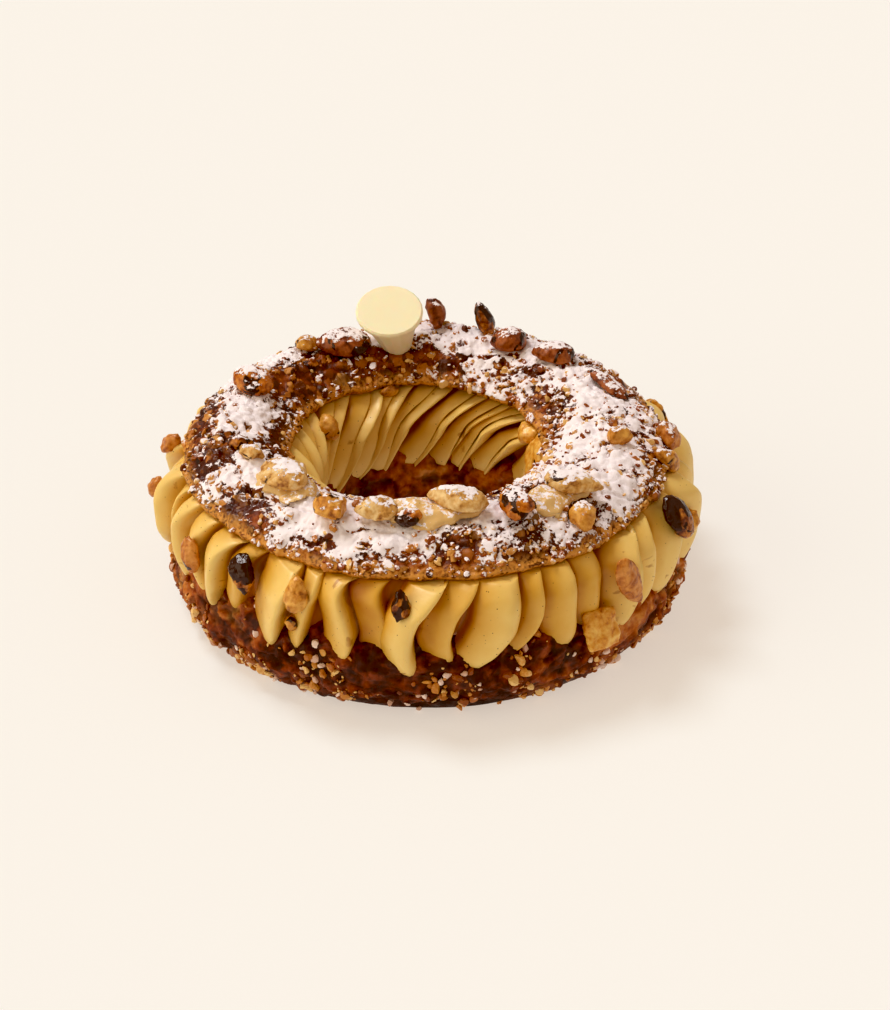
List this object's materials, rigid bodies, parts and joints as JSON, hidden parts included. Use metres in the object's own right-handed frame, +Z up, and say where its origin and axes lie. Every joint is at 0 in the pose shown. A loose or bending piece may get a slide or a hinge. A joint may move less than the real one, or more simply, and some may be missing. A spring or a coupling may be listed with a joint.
{
  "type": "paris brest pastry",
  "caption": "Ring of split choux pastry filled with ridged piped praline cream, lid dusted with sugar and strewn with roasted nuts, with a bare chocolate disc.",
  "frame": {"origin": "middle of the footprint, on the surface that the pastry stands on", "axes": "+Z up, through the ring's hole; -Y is the side shown to the front, and +X is to its right"},
  "size_m": [0.19, 0.19, 0.0816],
  "materials": {
    "choux": "rough baked choux, dark golden brown, burnt below, with chopped nuts",
    "crust": "baked choux crust under powdered sugar and chopped nuts",
    "cream": "smooth praline cream with fine dark specks",
    "dab": "smooth pale cream",
    "nut": "roasted nut, satin, dusted with sugar",
    "nut_pale": "pale roasted nut, satin, dusted with sugar",
    "nut_caramel": "caramelised nut, glossy",
    "nut_dark": "burnt caramelised nut, glossy",
    "chocolate": "pale white chocolate, satin"
  },
  "bodies": {
    "root": {"choux_base": "choux", "choux_lid": "crust", "praline_cream": "cream", "chocolate_disc": "chocolate", "disc_foot": "chocolate", "cream_dab_left": "dab", "cream_dab_front": "dab", "cream_dab_right": "dab", "almond_back_left": "nut", "hazelnut_back_left": "nut", "almond_standing": "nut", "hazelnut_burnt_back": "nut_dark", "hazelnut_back_middle": "nut", "hazelnut_back_right": "nut", "almond_edge_right": "nut", "hazelnut_caramel_left": "nut_caramel", "chunk_burnt_left": "nut_dark", "chunk_pale_left": "nut_pale", "almond_front_left": "nut_pale", "chunk_front_left": "nut", "almond_pale_front": "nut_pale", "chunk_caramel_front": "nut_caramel", "almond_front": "nut_pale", "chunk_caramel_front_right": "nut_caramel", "almond_front_right": "nut_pale", "chunk_sugared_front": "nut", "chunk_right": "nut", "chunk_edge_right": "nut", "hazelnut_edge_right": "nut", "chunk_hole_upper": "nut", "flake_hole": "nut", "hazelnut_hole_left": "nut", "chunk_hole_back": "nut", "chunk_left_upper": "nut", "hazelnut_left": "nut", "hazelnut_left_front": "nut", "chunk_burnt_left_front": "nut_dark", "almond_golden_front": "nut", "chunk_golden_front": "nut", "chunk_burnt_middle": "nut_dark", "almond_right_front": "nut", "flake_right_front": "nut", "hazelnut_burnt_right": "nut_dark", "chunk_right_side": "nut", "almond_back": "nut", "chunk_back": "nut", "hazelnut_back": "nut", "flake_back_right": "nut"}
  },
  "joints": []
}
